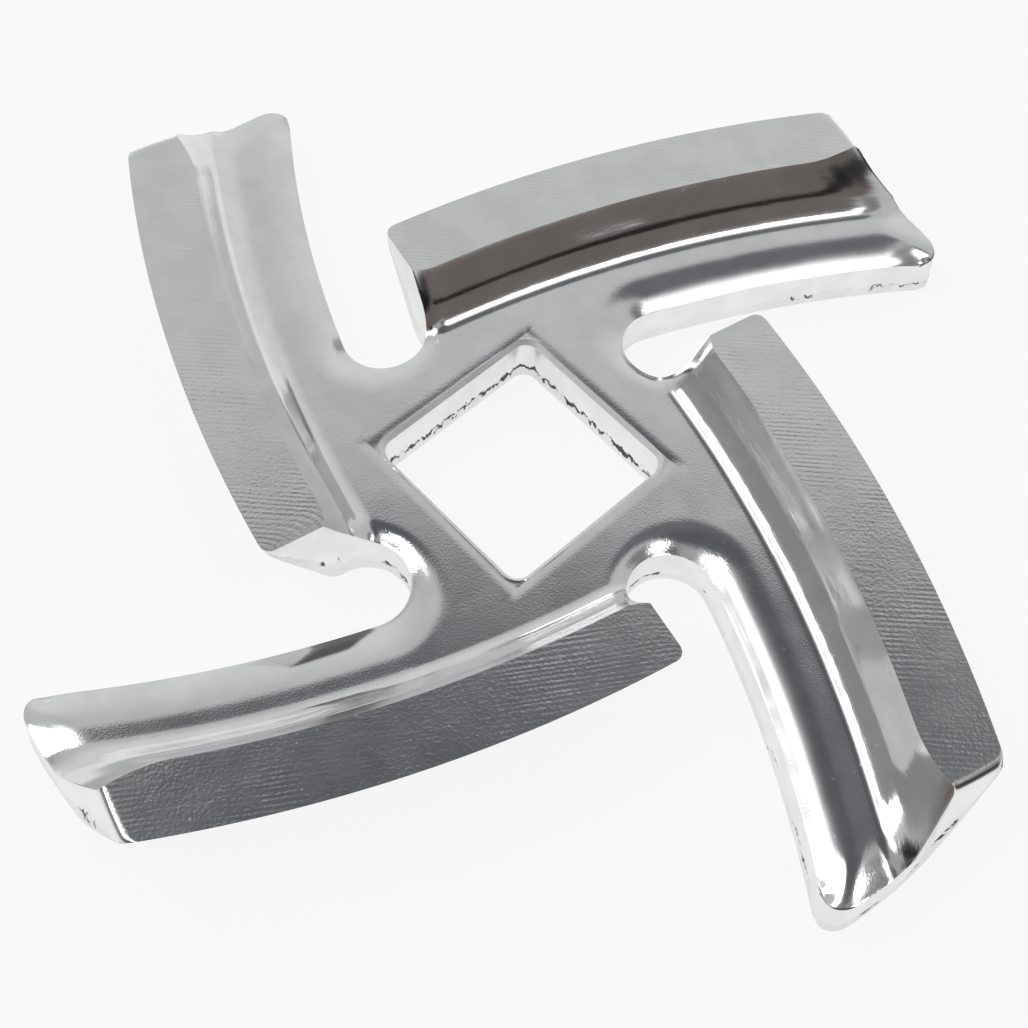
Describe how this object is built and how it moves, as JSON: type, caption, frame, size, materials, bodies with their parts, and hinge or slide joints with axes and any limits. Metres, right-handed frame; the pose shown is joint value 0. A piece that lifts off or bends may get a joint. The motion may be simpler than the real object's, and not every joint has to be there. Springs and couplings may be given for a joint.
{
  "type": "meat grinder knife",
  "caption": "Pressed steel pinwheel knife of a small meat grinder: curved arms with bent-up lips ground to flat lands, round gullets and a square drive hole.",
  "frame": {"origin": "on the turning axis, at the flat underside", "axes": "+Z along the turning axis towards the ground lands; one arm points along +X with its cutting edge towards +Y"},
  "size_m": [0.0474, 0.0474, 0.0048],
  "materials": {
    "pressed_steel": "bright tumbled steel, with straight grinding lines on the lands"
  },
  "bodies": {
    "root": {"knife": "pressed_steel"}
  },
  "joints": []
}
